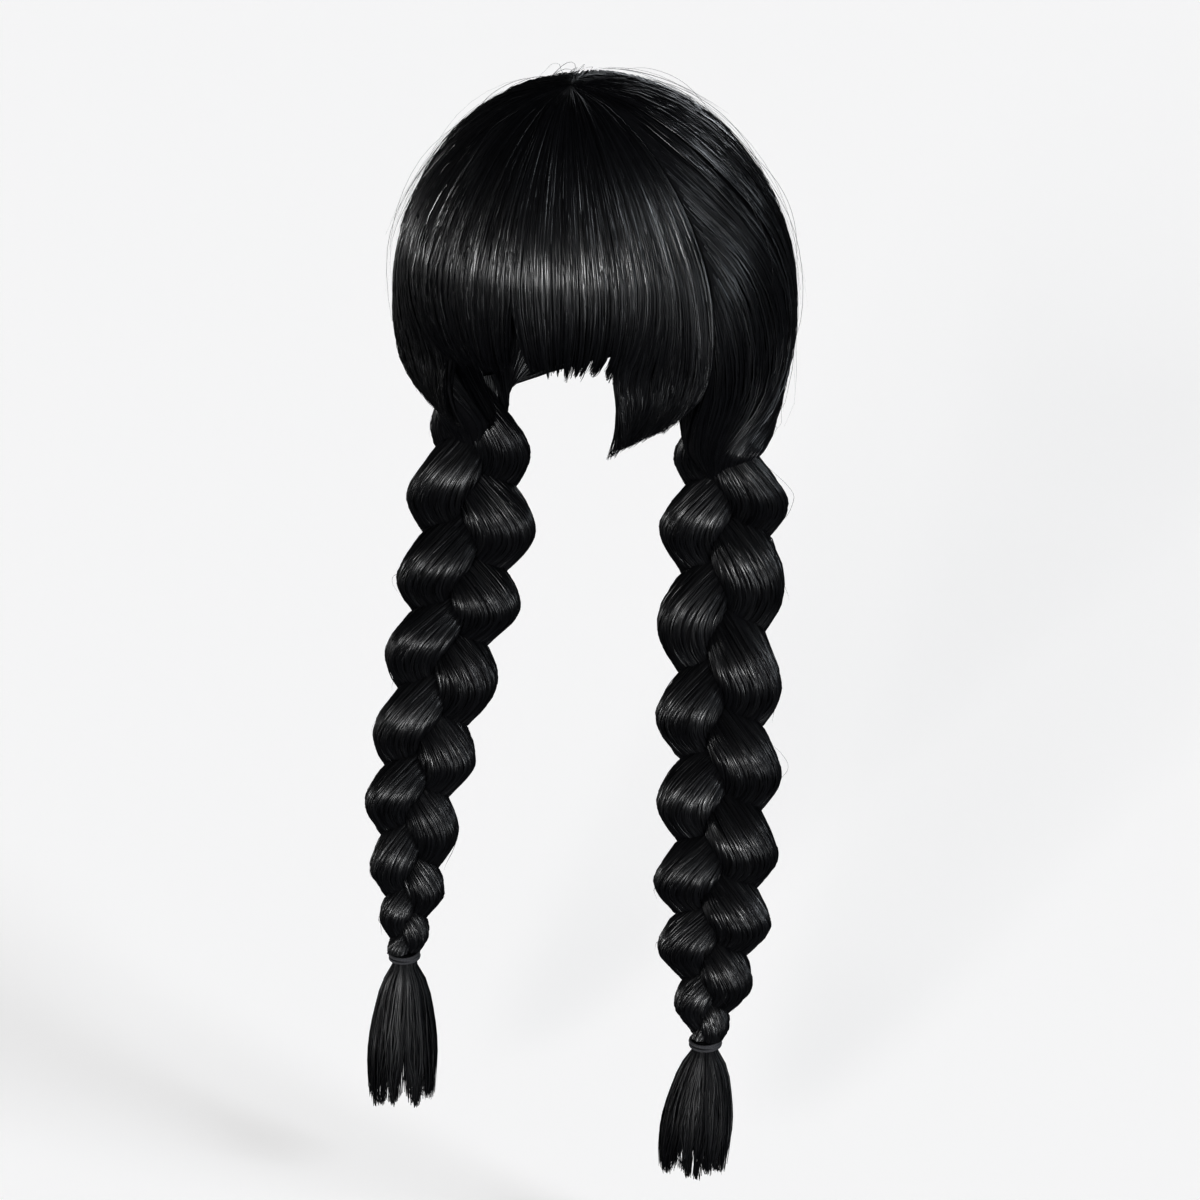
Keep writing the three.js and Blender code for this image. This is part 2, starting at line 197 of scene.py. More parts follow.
world = bpy.data.worlds.new("studio")
scene.world = world
world.use_nodes = True
sky = Wire(world.node_tree)
seen = sky.node("ShaderNodeLightPath", output="Is Camera Ray")
backdrop = world.node_tree.nodes["Background"].inputs
sky.feed(backdrop["Color"], seen.blend(*SKY_TONES))
backdrop["Strength"].default_value = 1.0
print("floor at", FLOOR["level"])

# %% Finishes of hair, net and elastic
STRAND_MAP = "strand"
HAIR_TONES = [(0.0004, 0.0004, 0.0006, 1), (0.0020, 0.0021, 0.0026, 1)]
HAIR_COAT_TINT = (0.95, 0.97, 1, 1)
OWN_GLOSS = {"share": 0.75, "noise": 97.0}
UNDER_HAIR_TONES = [(0.0006, 0.0006, 0.0008, 1), (0.0024, 0.0024, 0.003, 1)]
STREAKS = {"across": 900, "down": 30, "detail": 3.0}
NET_TONES = [(0.008, 0.008, 0.009, 1), (0.045, 0.045, 0.05, 1)]
NET_CELLS = {"per_metre": 650.0, "steepness": 9.0, "rounding": 0.2}
WEFT = {"spacing": 0.012, "gap": 0.75}
ELASTIC_TONES = [(0.008, 0.008, 0.009, 1), (0.03, 0.03, 0.033, 1)]
WINDING = {"along": 70.0, "around": 3.0}


def strand_finish(name, smoothest, roughest, coat_index, sheen):
    """Loose black hair. Its map gives each ribbon's tone, and the gloss of the clump that it lies in."""
    material, surface, wire = new_finish(name)
    place = wire.node("ShaderNodeUVMap", {"uv_map": STRAND_MAP})
    tone = place.part(0)
    noise = {"W": tone * OWN_GLOSS["noise"]}
    own = wire.node("ShaderNodeTexWhiteNoise", {"noise_dimensions": "1D"}, noise)
    gloss = (own * OWN_GLOSS["share"] + (1 - OWN_GLOSS["share"])) * place.part(1)
    wire.feed(surface["Base Color"], tone.blend(*HAIR_TONES))
    wire.feed(surface["Roughness"], roughest - gloss * (roughest - smoothest))
    wire.feed(surface["Coat Weight"], gloss * gloss)
    surface["Coat Roughness"].default_value = smoothest
    surface["Coat IOR"].default_value = coat_index
    surface["Coat Tint"].default_value = HAIR_COAT_TINT
    surface["Specular IOR Level"].default_value = sheen
    return material


def cover(surface, height, tones, roughness, relief, sheen):
    """Wires up a dull surface: a height gives it its tone, and stands out from it a little."""
    height.feed(surface["Base Color"], height.blend(*tones))
    height.feed(surface["Roughness"], roughness)
    height.feed(surface["Normal"], height.node("ShaderNodeBump", inputs={"Height": height, **relief}))
    surface["Specular IOR Level"].default_value = sheen


def mass_finish():
    """The hair underneath: duller, with fine uneven streaks that run down the head."""
    material, surface, wire = new_finish("under_hair")
    place = wire.node("ShaderNodeTexCoord", output="Object")
    scale = (STREAKS["across"], STREAKS["across"], STREAKS["down"])
    stretched = wire.node("ShaderNodeMapping", inputs={"Vector": place, "Scale": scale})
    noise = {"Vector": stretched, "Scale": 1.0, "Detail": STREAKS["detail"]}
    streaks = wire.node("ShaderNodeTexNoise", inputs=noise)
    relief = {"Strength": 0.6, "Distance": 0.0006}
    cover(surface, streaks, UNDER_HAIR_TONES, 0.55 + streaks * 0.2, relief, sheen=0.04)
    return material


def net_finish():
    """The cap: a fine elastic net with rows of stitching, where the hair is sewn on."""
    material, surface, wire = new_finish("cap_net")
    place = wire.node("ShaderNodeTexCoord", output="Object")
    cells = {"Vector": place, "Scale": NET_CELLS["per_metre"]}
    edge = wire.node("ShaderNodeTexVoronoi", {"feature": "DISTANCE_TO_EDGE"}, cells, output="Distance")
    thread = 1 - wire.math("SMOOTH_MIN", edge * NET_CELLS["steepness"], 1.0, NET_CELLS["rounding"])
    row = wire.math("SINE", place.part(2) * (2 * math.pi / WEFT["spacing"]))
    weft = wire.math("MAXIMUM", row - WEFT["gap"], 0.0) * (1 / (1 - WEFT["gap"]))
    relief = {"Strength": 0.8, "Distance": 0.0006}
    cover(surface, thread + weft, NET_TONES, 0.9 - weft * 0.2, relief, sheen=0.15)
    return material


def elastic_finish():
    """The elastics: a dull covered thread, wound at a slant round the rubber."""
    material, surface, wire = new_finish("covered_elastic")
    place = wire.node("ShaderNodeUVMap", {"uv_map": "UVMap"})
    turns = place.part(0) * WINDING["along"] + place.part(1) * WINDING["around"]
    thread = wire.math("SINE", turns * (2 * math.pi)) * 0.5 + 0.5
    relief = {"Strength": 0.7, "Distance": 0.0004}
    cover(surface, thread, ELASTIC_TONES, 0.65 + thread * 0.2, relief, sheen=0.2)
    return material


HAIR = strand_finish("combed_hair", smoothest=0.26, roughest=0.42, coat_index=1.62, sheen=0.05)
BRAID_HAIR = strand_finish("braided_hair", smoothest=0.32, roughest=0.46, coat_index=1.58, sheen=0.05)
TASSEL_HAIR = strand_finish("loose_ends", smoothest=0.28, roughest=0.42, coat_index=1.36, sheen=0.02)
UNDER_HAIR = mass_finish()
NET = net_finish()
ELASTIC = elastic_finish()
print("finishes:", *[finish.name for finish in (HAIR, BRAID_HAIR, TASSEL_HAIR, UNDER_HAIR, NET, ELASTIC)])

# %% [markdown]
# ## The way the hair is combed
#
# All the hair on the head follows one dome that stands off the cap. A place on it is given by an azimuth
# round the head and a reach from the whorl, where 1 is the widest level. The sums below follow those of the
# CAD pieces, written for whole arrays at a time. The locks' fall and the crown's bag go a little further.

# %% Array helpers
GLOSS = {"lowest_clump": 0.55, "near_start": 0.4, "whorl": 0.16}


def unit(vectors):
    return vectors / np.linalg.norm(vectors, axis=-1, keepdims=True)


def ease(x, low, high):
    """A smooth step from 0 at low to 1 at high."""
    t = np.clip((x - low) / (high - low), 0, 1)
    return t * t * (3 - 2 * t)


def mix(a, b, t):
    return a + (b - a) * t


def ways(count, steps):
    """Even steps from 0 to 1 along each of a number of strands."""
    return np.linspace(0, 1, steps) * np.ones((count, 1))


def curve(t, start, end, leaving, arriving):
    """A smooth curve from one value to another, with its slope at both ends."""
    value = (2 * t**3 - 3 * t**2 + 1) * start + (3 * t**2 - 2 * t**3) * end
    return value + (t**3 - 2 * t**2 + t) * leaving + (t**3 - t**2) * arriving


def read(rows, key, name, place):
    """Reads one column of a table between its rows, on a smooth curve."""
    places = np.array([row[key] for row in rows], float)
    values = np.array([row[name] for row in rows], float)
    slopes = np.gradient(values, places)
    place = np.clip(place, places[0], places[-1])
    i = np.clip(np.searchsorted(places, place) - 1, 0, len(places) - 2)
    step = places[i + 1] - places[i]
    t = (place - places[i]) / step
    return curve(t, values[i], values[i + 1], step * slopes[i], step * slopes[i + 1])


def spread(rng, count):
    """Even places from 0 to 1, each a little out of line, in a mixed order."""
    return rng.permutation((np.arange(count) + rng.random(count)) / count)


def wander(rng, along, size, waves):
    """A slow sideways drift for each strand."""
    phase = rng.random((2, len(along), 1)) * 2 * np.pi
    turn = 2 * np.pi * waves * along
    return size * (np.sin(turn + phase[0]) + 0.5 * np.sin(2.3 * turn + phase[1]))


def clump(rng, places, count):
    """Groups strands by where they lie from 0 to 1: the middle and the height of each one's clump."""
    middles = (np.arange(count) + rng.random(count)) / count
    nearest = np.abs(places[:, None] - middles).argmin(1)
    return middles[nearest][:, None], rng.random(count)[nearest][:, None]


def clump_gloss(raised, along=1, dull_to=1e-6):
    """Higher clumps are glossier. All are dull near the start of the way, and duller still at the whorl."""
    fade = mix(GLOSS["near_start"], 1, ease(along, 0.2 * dull_to, dull_to)) * ease(along, 0, GLOSS["whorl"])
    return mix(GLOSS["lowest_clump"], 1, raised) * fade


def eased_path(paths, passes):
    """Rounds off kinks: each inner point moves to the mean of itself and its neighbours."""
    for _ in range(passes):
        paths[:, 1:-1] = paths[:, 1:-1] / 2 + (paths[:, :-2] + paths[:, 2:]) / 4
    return paths


# %% The dome and the cap under it
HEAD = np.array([76.0, 97.0, 100.0])
CAP_CLEAR = 2.3
DOME = {"half_width": 120, "front": 116, "back": 130, "height": 141, "below": 95, "top": 20}
DOME_LEVEL = DOME["top"] - DOME["height"]
WHORL_REACH = 0.004
WHORL_FORWARD = 26 / DOME["front"]
WHORL = np.array([0, -WHORL_FORWARD, math.sqrt(1 - WHORL_FORWARD**2)])


def dome_direction(azimuth, reach):
    angle = np.radians(azimuth)
    level = np.stack([np.sin(angle), -np.cos(angle), np.zeros_like(angle)], -1)
    arc = np.arccos(level @ WHORL)
    whorl_share = np.sin((1 - reach) * arc) / np.sin(arc)
    level_share = np.sin(reach * arc) / np.sin(arc)
    return whorl_share[..., None] * WHORL + level_share[..., None] * level


def dome_size(direction):
    deep = np.where(direction[..., 1] < 0, DOME["front"], DOME["back"])
    tall = np.where(direction[..., 2] < 0, DOME["below"], DOME["height"])
    return np.stack([np.full_like(deep, DOME["half_width"]), deep, tall], -1)


def on_dome(direction):
    return direction * dome_size(direction) + np.array([0, 0, DOME_LEVEL])


def out_of_dome(direction):
    return unit(direction / dome_size(direction))


def clear_of_cap(points):
    """Moves points that would lie in the cap out to its surface."""
    size = HEAD + CAP_CLEAR
    scaled = (points + [0, 0, HEAD[2]]) / size
    radius = np.maximum(np.linalg.norm(scaled, axis=-1, keepdims=True), 1e-6)
    return np.where(radius < 1, scaled / radius * size - [0, 0, HEAD[2]], points)


# %% The front hair
FRINGE_AZIMUTH = 38
FRINGE_CUT = {"half_width": 51.5, "front": 97, "end_set_back": 15.5, "drop": 133, "end_drop": 4}
FRONT_REACH = 1.1
CURL_START = 0.72
LOCK_AZIMUTH = 63
LOCK_REAR = np.array([99.0, -56.0, -139.0])
LOCK_TIP = {"inner": np.array([44.5, -71.0, -192.0]), "rear": np.array([50.0, -68.0, -184.0])}
LOCK_FALL = {"share": 0.7, "length": 24, "bow": 13}


def cut_line(azimuth):
    """The line that the front hair is combed to: the fringe's edge, and on to the lock's rear edge."""
    cut = FRINGE_CUT
    offset = np.clip(azimuth / FRINGE_AZIMUTH, -1, 1)
    front = cut["end_set_back"] * offset**2 - cut["front"]
    edge = np.stack([offset * cut["half_width"], front, -cut["drop"] - cut["end_drop"] * offset**2], -1)
    side = np.where(azimuth < 0, -1, 1)
    rear = LOCK_REAR * np.stack([side, np.ones_like(side), np.ones_like(side)], -1)
    return mix(edge, rear, ease(np.abs(azimuth), FRINGE_AZIMUTH, LOCK_AZIMUTH)[..., None])


def combed_down(azimuth, along):
    direction = dome_direction(azimuth, mix(WHORL_REACH, FRONT_REACH, along))
    share = ease(along, CURL_START, 1)[..., None]
    return mix(on_dome(direction), cut_line(azimuth), share), out_of_dome(direction)


def lock_route(across, along):
    azimuth = mix(FRINGE_AZIMUTH, LOCK_AZIMUTH, across)
    upper, outward = combed_down(azimuth, np.minimum(along / LOCK_FALL["share"], 1))
    fall = np.clip((along - LOCK_FALL["share"]) / (1 - LOCK_FALL["share"]), 0, 1)[..., None]
    cut = cut_line(azimuth)
    hanging = cut - [0, 0, LOCK_FALL["length"]] + (1 - across)[..., None] * [LOCK_FALL["bow"], 0, 0]
    tip = mix(LOCK_TIP["inner"], LOCK_TIP["rear"], np.clip(across, 0, 1)[..., None])
    swept = (1 - fall) ** 2 * cut + 2 * fall * (1 - fall) * hanging + fall**2 * tip
    return np.where(fall > 0, swept, upper), outward


# %% The crown, from the whorl and the back parting to a braid's root
CROWN_FLOW = table(
    "across azimuth reach",
    (0, [63, 63, 65, 82], [WHORL_REACH, 0.5, 0.96, 1.38]),
    (0.2, [122, 108, 96, 94], [WHORL_REACH, 0.5, 0.96, 1.4]),
    (0.4, [180, 146, 122, 103], [WHORL_REACH, 0.55, 1, 1.4]),
    (0.7, [180, 152, 130, 108], [0.66, 0.9, 1.16, 1.4]),
    (1, [180, 160, 137, 112], [1.26, 1.34, 1.4, 1.42]),
)
CROWN_DEPTH = table("along depth", (0, 6), (0.25, 22), (0.6, 22), (0.85, 30), (1, 38))
ROOT = {"out": 83, "back": 8, "drop": 197, "radius": 27, "turn": -35}
ROOT_BLEND = 0.68
SAG = {"start": 0.66, "swell": 11}
CROWN_FRONT = 0.25
TUCK = {"end": 1.15, "drop": 24, "narrowing": 0.75}
STEEP_EDGE = 0.3
PARTING = {"half_gap": 0.2, "crossed": 1.5}


def station_curve(across, name, along):
    """Reads a strand's azimuth or reach: four stations from the flow table, joined by a smooth curve."""
    places = [row["across"] for row in CROWN_FLOW]
    columns = np.array([row[name] for row in CROWN_FLOW], float).T
    across = across * np.ones_like(along)
    values = np.stack([np.interp(across, places, column) for column in columns], -1)
    slopes = np.gradient(values, axis=-1)
    spans = len(columns) - 1
    t = np.clip(along, 0, 1) * spans
    i = np.clip(t.astype(int), 0, spans - 1)
    picks = [i[..., None], i[..., None] + 1]
    start, end = [np.take_along_axis(values, pick, -1)[..., 0] for pick in picks]
    leaving, arriving = [np.take_along_axis(slopes, pick, -1)[..., 0] for pick in picks]
    return curve(t - i, start, end, leaving, arriving)


def tucked(along):
    """How far a strand has gone into the top of its braid."""
    return np.clip((along - 1) / (TUCK["end"] - 1), 0, 1)


def edge_power(along):
    """The crown's edges are steep where it lies on the head, and round at the braid's root."""
    return mix(STEEP_EDGE, 1, ease(along, ROOT_BLEND, 1))


def crown_depth(along, inside):
    """How far the crown's inside lies below its face."""
    depth = read(CROWN_DEPTH, "along", "depth", np.minimum(along, 1))
    return depth * (1 - TUCK["narrowing"] * tucked(along)) * inside ** edge_power(along)


def crown_route(across, along):
    """Points on the left half of the crown, the way to its inside, and the way that its hair faces.

    Past along = 1 the strands tuck into the top of the braid.
    """
    azimuth = np.minimum(station_curve(across, "azimuth", along), 180)
    reach = np.maximum(station_curve(across, "reach", along), WHORL_REACH)
    direction = dome_direction(azimuth, reach)
    tuck = tucked(along)[..., None]
    turn = math.radians(ROOT["turn"])
    outward = np.array([math.cos(turn), math.sin(turn), 0])
    rearward = np.array([-math.sin(turn), math.cos(turn), 0])
    rear = np.clip(2 * across - 1, -1, 1)[..., None]
    radial = rearward * rear + outward * np.sqrt(1 - rear**2)
    middle = np.array([ROOT["out"], ROOT["back"], -ROOT["drop"]]) - tuck * np.array([0, 0, TUCK["drop"]])
    root = middle + radial * ROOT["radius"] * (1 - TUCK["narrowing"] * tuck)
    share = ease(along, ROOT_BLEND, 1)[..., None]
    beside = 1 - ease(across, 0, CROWN_FRONT)
    curl = ease(reach, mix(WHORL_REACH, FRONT_REACH, CURL_START), FRONT_REACH) * beside
    swell = SAG["swell"] * np.sin(np.pi * ease(along, SAG["start"], 1)) ** 2 * (1 - beside)
    facing = unit(mix(out_of_dome(direction), radial, share))
    head = mix(on_dome(direction), LOCK_REAR, curl[..., None])
    point = mix(head, root, share) + facing * swell[..., None]
    point[..., 0] = np.maximum(point[..., 0], PARTING["half_gap"])
    return point, -unit(mix(out_of_dome(direction), outward, share)), facing


print("whorl at", on_dome(WHORL).round(1), "mm")

# %% [markdown]
# ## Ribbons and masses
#
# A strand is a ribbon with a raised middle, so that with smooth shading it catches the light as a round
# hair does. All the ribbons of a piece are one mesh, built from arrays, because a mesh made strand by
# strand would take minutes. Each ribbon has its own cell in one map, for textures, and its tone and gloss
# in another.

# %% Ribbons from paths
ROOF = 0.8
LEAN = 0.25
ROOT_WIDTH = 0.5
WIDTH_RANGE = (0.6, 1.4)
CELL_RANGE = (0.1, 0.9)
STRAY = {"width": 0.24, "lean": 0.5, "drift": 1.5, "arched": 0.5, "shortest": 0.3}


def ribbons(paths, outward, widths, lean):
    """The points of each ribbon: strand, step, left-middle-right, coordinate."""
    tangent = unit(np.gradient(paths, axis=1))
    side = unit(np.cross(tangent, outward))
    up = np.cross(side, tangent)
    lean = lean[:, None, None]
    across = side * np.cos(lean) + up * np.sin(lean)
    up = up * np.cos(lean) - side * np.sin(lean)
    half = widths[..., None] / 2
    return np.stack([paths - across * half, paths + up * half * ROOF, paths + across * half], 2)


def tapered(rng, along, width, tip=0.2):
    """Widths that grow from the root and thin out at the tip."""
    own = width * rng.uniform(*WIDTH_RANGE, (len(along), 1))
    return own * mix(ROOT_WIDTH, 1, ease(along, 0, 0.2)) * mix(1, tip, ease(along, 0.7, 1))


def laid(rng, points, outward, own, width, side=1, tip=0.2):
    """Ribbons along strands, which are mirrored for the wearer's right side."""
    lean = rng.normal(0, LEAN, len(points))
    widths = tapered(rng, own, width, tip)
    return ribbons(points * [side, 1, 1], outward * [side, 1, 1], widths, lean)


def mesh_from_arrays(name, points, quads, maps):
    """A smooth mesh of the points that its quads use. A map has a place for each point."""
    used, quads = np.unique(quads, return_inverse=True)
    quads = quads.reshape(-1, 4)
    mesh = bpy.data.meshes.new(name)
    mesh.vertices.add(len(used))
    mesh.vertices.foreach_set("co", (points[used] * MM).ravel())
    mesh.loops.add(quads.size)
    mesh.loops.foreach_set("vertex_index", quads.ravel().astype(np.int32))
    mesh.polygons.add(len(quads))
    mesh.polygons.foreach_set("loop_start", np.arange(0, quads.size, 4, dtype=np.int32))
    mesh.update(calc_edges=True)
    for map_name, places in maps.items():
        mesh.uv_layers.new(name=map_name).data.foreach_set("uv", places[used][quads.ravel()].ravel())
    mesh.shade_smooth()
    return mesh


def hair_object(name, layers, seed, finish=HAIR):
    """Joins layers of ribbons into one mesh. A layer is its points, the steps shown and its gloss."""
    rng = np.random.default_rng(seed)
    count = sum(len(points) for points, shown, gloss in layers)
    cells = math.ceil(math.sqrt(count))
    corners, quads, bake, strand = [], [], [], []
    first_corner, first_strand = 0, 0
    for points, shown, gloss in layers:
        shape = points.shape[:3]
        index = first_corner + np.arange(math.prod(shape)).reshape(shape)
        faces = np.stack([index[:, :-1, :-1], index[:, :-1, 1:], index[:, 1:, 1:], index[:, 1:, :-1]], -1)
        quads.append(faces[shown].reshape(-1, 4))
        corners.append(points.reshape(-1, 3))
        cell = first_strand + np.arange(shape[0])[:, None, None]
        across = (cell % cells + np.linspace(*CELL_RANGE, shape[2])) / cells
        along = (cell // cells + np.linspace(*CELL_RANGE, shape[1])[:, None]) / cells
        tone = rng.random((shape[0], 1, 1))
        for places, pair in ((bake, (across, along)), (strand, (tone, gloss[..., None]))):
            places.append(np.stack([np.broadcast_to(value, shape) for value in pair], -1).reshape(-1, 2))
        first_corner += index.size
        first_strand += shape[0]
    quads = np.concatenate(quads)
    maps = {STRAND_MAP: np.concatenate(strand), "OFBake": np.concatenate(bake)}
    mesh = mesh_from_arrays(name, np.concatenate(corners), quads, maps)
    mesh.materials.append(finish)
    piece = bpy.data.objects.new(name, mesh)
    bpy.context.collection.objects.link(piece)
    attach(piece, "root")
    print(f"{name}: {count} strands, {2 * len(quads)} triangles")
    return piece


def all_shown(points, gloss):
    """A layer whose ribbons show from end to end."""
    count, steps = points.shape[:2]
    return points, np.ones((count, steps - 1), bool), gloss


def stray_layer(rng, points, outward, height):
    """Fine loose hairs that stand off the rest, some in an arc and some only at the tip."""
    count, steps = points.shape[:2]
    own = ways(count, steps)
    rise = np.where(rng.random((count, 1)) < STRAY["arched"], np.sin(np.pi * own), own**2)
    lift = 1 + height * rng.random((count, 1)) ** 1.5 * rise
    sideways = np.cross(unit(np.gradient(points, axis=1)), outward)
    drift = wander(rng, own, STRAY["drift"], 1.0)
    points = points + outward * lift[..., None] + sideways * drift[..., None]
    widths = tapered(rng, own, STRAY["width"])
    made = ribbons(points, outward, widths, rng.normal(0, STRAY["lean"], count))
    return all_shown(made, rng.random((count, 1)))


def stretches(rng, count, steps, longest):
    """Short stretches of the way from 0 to 1, one for each stray hair."""
    start = rng.random((count, 1)) * (1 - longest)
    return start + np.linspace(0, 1, steps) * longest * rng.uniform(STRAY["shortest"], 1, (count, 1))


# %% Masses under the ribbons
MERGE_DISTANCE = 1e-5


def select_only(*pieces):
    """Selects pieces, and makes the first of them active."""
    bpy.ops.object.select_all(action="DESELECT")
    for piece in pieces:
        piece.select_set(True)
    bpy.context.view_layer.objects.active = pieces[0]


def stand_in(piece, node, finish):
    """Smooths the shading of a piece, gives it its finish, and puts it in place of a CAD piece."""
    bpy.ops.object.shade_smooth()
    piece.data.materials.append(finish)
    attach(piece, "root")
    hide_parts(node)
    print(f"{piece.name}: {len(piece.data.polygons)} faces")


def mass_object(node, inset, trim_level=None, finish=UNDER_HAIR):
    """A copy of a CAD piece, merged, drawn in by the inset, cut off below the trim level, and smoothed."""
    select_only(NODES[node])
    bpy.ops.object.duplicate()
    piece = bpy.context.object
    piece.name = node + "_mass"
    bpy.ops.object.mode_set(mode="EDIT")
    bpy.ops.mesh.select_all(action="SELECT")
    bpy.ops.mesh.remove_doubles(threshold=MERGE_DISTANCE)
    if inset:
        bpy.ops.transform.shrink_fatten(value=-inset * MM)
    if trim_level is not None:
        bpy.ops.mesh.select_all(action="SELECT")
        level = (0, 0, trim_level * MM)
        bpy.ops.mesh.bisect(plane_co=level, plane_no=(0, 0, -1), clear_outer=True, use_fill=True)
    bpy.ops.object.mode_set(mode="OBJECT")
    smooth = piece.modifiers.new("smooth", "SUBSURF")
    smooth.levels = smooth.render_levels = 1
    bpy.ops.object.modifier_apply(modifier=smooth.name)
    piece.data.materials.clear()
    stand_in(piece, node, finish)


def loft_object(node, rings):
    """A smooth mass through closed rings of points, in place of a CAD piece."""
    count, sides = rings.shape[:2]
    index = np.arange(count * sides).reshape(count, sides)
    after = np.roll(index, -1, 1)
    quads = np.stack([index[:-1], after[:-1], after[1:], index[1:]], -1).reshape(-1, 4)
    mesh = bpy.data.meshes.new(node + "_mass")
    ends = [index[0, ::-1].tolist(), index[-1].tolist()]
    mesh.from_pydata((rings.reshape(-1, 3) * MM).tolist(), [], quads.tolist() + ends)
    piece = bpy.data.objects.new(mesh.name, mesh)
    bpy.context.collection.objects.link(piece)
    select_only(piece)
    bpy.ops.object.mode_set(mode="EDIT")
    bpy.ops.mesh.select_all(action="SELECT")
    bpy.ops.mesh.normals_make_consistent(inside=False)
    bpy.ops.object.mode_set(mode="OBJECT")
    stand_in(piece, node, UNDER_HAIR)


# %% [markdown]
# ## The fringe
#
# The fringe falls from the whorl to a straight cut above the eyes. Cut hair gathers into small pointed
# tufts, so each strand is drawn towards the middle of its tuft near the end, and each tuft has its own
# length. A wedge-shaped notch parts it a little to the wearer's left of the middle.

# %% Fringe strands
NOTCH = {"top": 92, "level": 150, "half_gap": 7.5, "top_x": 3.0, "low_x": 1.75, "spread": 30}
RIPPLE = {"size": 1.0, "waves": 2.6, "at_start": 0.1}
TUCKED_IN = 0.8
LATEST_START = 0.5
FRINGE = {"clumps": 70, "clumping": 0.35, "tufts": 27, "tufting": (0.5, 0.95), "overlap": 2}
FRINGE_END = {"ragged": 5, "uneven": 1.2}
FRINGE_LAY = {"lift": 2.2, "sunk_at_end": 0.4, "dull_to": 0.55}


def part_notch(points):
    """Pushes strands apart on both sides of the notch."""
    drop = -points[..., 2]
    down = ease(drop, NOTCH["top"], NOTCH["level"])
    gap = NOTCH["half_gap"] * np.clip((drop - NOTCH["top"]) / (NOTCH["level"] - NOTCH["top"]), 0, 1)
    away = points[..., 0] - mix(NOTCH["top_x"], NOTCH["low_x"], down)
    near = np.abs(away) < NOTCH["spread"]
    pushed = np.sign(away) * (gap + np.abs(away) * (1 - gap / NOTCH["spread"]))
    points[..., 0] += np.where(near, pushed - away, 0)
    return points


def layered_lift(rng, along, height, raised):
    """A strand's height over the surface: tucked in at its start, then rippling at its clump's height."""
    own = (0.5 * rng.random((len(along), 1)) + 0.5 * raised) * height
    ripple = wander(rng, along, RIPPLE["size"] * rng.random((len(along), 1)), RIPPLE["waves"])
    ripple = ripple * mix(RIPPLE["at_start"], 1, ease(along, 0.2, 0.6))
    return (own + ripple) * ease(along, 0, 0.12) - TUCKED_IN * (1 - ease(along, 0, 0.1))


def front_layer(rng, lay, points, outward, own, along, raised, width, sunk, side=1):
    """Lays the front hair in clumps of different heights. The strands of an inner layer are sunk below."""
    depth = sunk * rng.random((len(own), 1)) * ease(along, 0.1, 0.4)
    depth = depth * mix(1, lay["sunk_at_end"], ease(along, 0.6, 1))
    lift = layered_lift(rng, own, lay["lift"], raised) - depth
    points = clear_of_cap(points + outward * lift[..., None])
    made = laid(rng, points, outward, own, width, side)
    return all_shown(made, clump_gloss(raised, along, lay["dull_to"]))


def fringe_layer(rng, count, steps, width, sunk):
    """Strands from the whorl to the cut, drawn into tufts there, and parted by the notch."""
    own = ways(count, steps)
    start = rng.random((count, 1)) ** 2 * LATEST_START
    along = mix(start, 1, own)
    place = spread(rng, count)
    middle, raised = clump(rng, place, FRINGE["clumps"])
    tuft, longer = clump(rng, place, FRINGE["tufts"])
    from_tuft = np.abs(place[:, None] - tuft) * FRINGE["tufts"]
    place = mix(place[:, None], middle, FRINGE["clumping"] * ease(along, 0.1, 0.5))
    place = mix(place, tuft, rng.uniform(*FRINGE["tufting"], (count, 1)) * ease(along, 0.76, 1.03))
    widest = FRINGE_AZIMUTH + FRINGE["overlap"]
    points, outward = combed_down(mix(-widest, widest, place) + wander(rng, along, 0.2, 1.2), along)
    points = eased_path(points, 2)
    shorter = FRINGE_END["ragged"] * (from_tuft - longer) + rng.normal(0, FRINGE_END["uneven"], (count, 1))
    points[..., 2] += shorter * ease(along, 0.75, 1)
    points = part_notch(points)
    return front_layer(rng, FRINGE_LAY, points, outward, own, along, raised, width, sunk)


rng = np.random.default_rng(11)
outer = fringe_layer(rng, count=1350, steps=17, width=0.85, sunk=0)
inner = fringe_layer(rng, count=360, steps=12, width=1.1, sunk=11)
along = stretches(rng, count=60, steps=12, longest=0.6)
azimuth = rng.uniform(-FRINGE_AZIMUTH, FRINGE_AZIMUTH, (len(along), 1)) * np.ones_like(along)
points, outward = combed_down(azimuth, along)
strays = stray_layer(rng, part_notch(points), outward, height=4)
hair_object("fringe_strands", [outer, inner, strays], seed=1)
mass_object("fringe", inset=1.2, trim_level=-121)

# %% [markdown]
# ## The side locks
#
# Each lock is combed down beside the fringe, hangs below it, and sweeps in to a point beside the cheek.

# %% Lock strands
SIDES = {"left": 1, "right": -1}
LOCK = {"clumps": 26, "clumping": 0.35, "overlap": 0.02, "tufts": 7}
LOCK_END = {"tuft": 0.1, "own": 0.15, "fray": 5}
LOCK_LAY = {"lift": 2.0, "sunk_at_end": 0.2, "dull_to": 0.25}
LOCK_SECTION = {"columns": 16, "rows": 40, "margin": 0.04, "inset": 1.2, "deep": 6}
LOCK_STRETCH = (0.02, 0.97)


